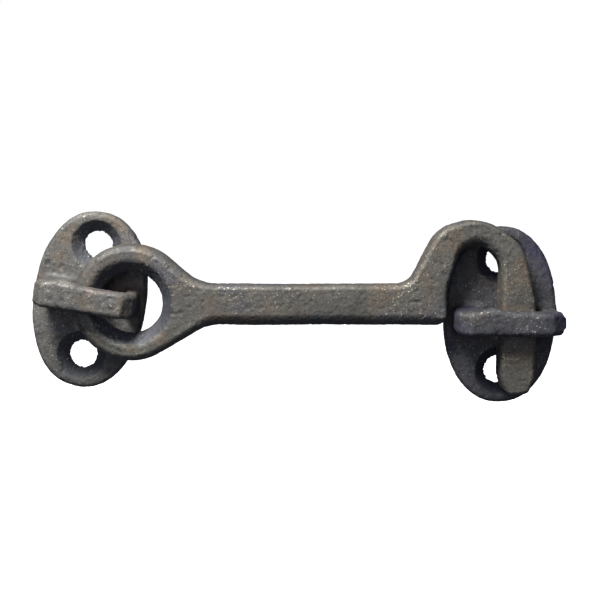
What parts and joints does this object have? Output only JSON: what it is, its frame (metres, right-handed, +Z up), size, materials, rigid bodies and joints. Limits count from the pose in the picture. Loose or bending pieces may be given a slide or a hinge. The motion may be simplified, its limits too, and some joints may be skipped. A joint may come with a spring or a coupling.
{
  "type": "cabin hook latch",
  "caption": "Cast iron cabin hook: a ring-eyed hook linked to an oval eye plate drops its prong through the staple of a matching keeper plate.",
  "frame": {"origin": "on the wall plane, midway between the two screw holes of the eye plate, at the plate's back", "axes": "+X along the hook from the eye plate to the keeper plate, +Z up, -Y out of the wall towards the viewer"},
  "size_m": [0.1049, 0.0132, 0.0383],
  "materials": {
    "plate_iron": "rough sand-cast skin, dark grey with a blue-violet oxide tint",
    "hook_iron": "rough sand-cast skin, dark grey-brown, slightly polished by handling"
  },
  "bodies": {
    "eye_plate": {"eye_plate": "plate_iron"},
    "hook": {"hook": "hook_iron"},
    "keeper_plate": {"keeper_plate": "plate_iron"}
  },
  "joints": [
    {"name": "hook_lift", "type": "hinge", "parent": "eye_plate", "child": "hook", "pos_m": [0.00925, -0.0064, 0.0001], "axis": [0, -1, 0], "range_deg": [0, 138]},
    {"name": "keeper_withdraw", "type": "slide", "parent": "eye_plate", "child": "keeper_plate", "axis": [0, 0, -1], "range_m": [0, 0.03]}
  ]
}
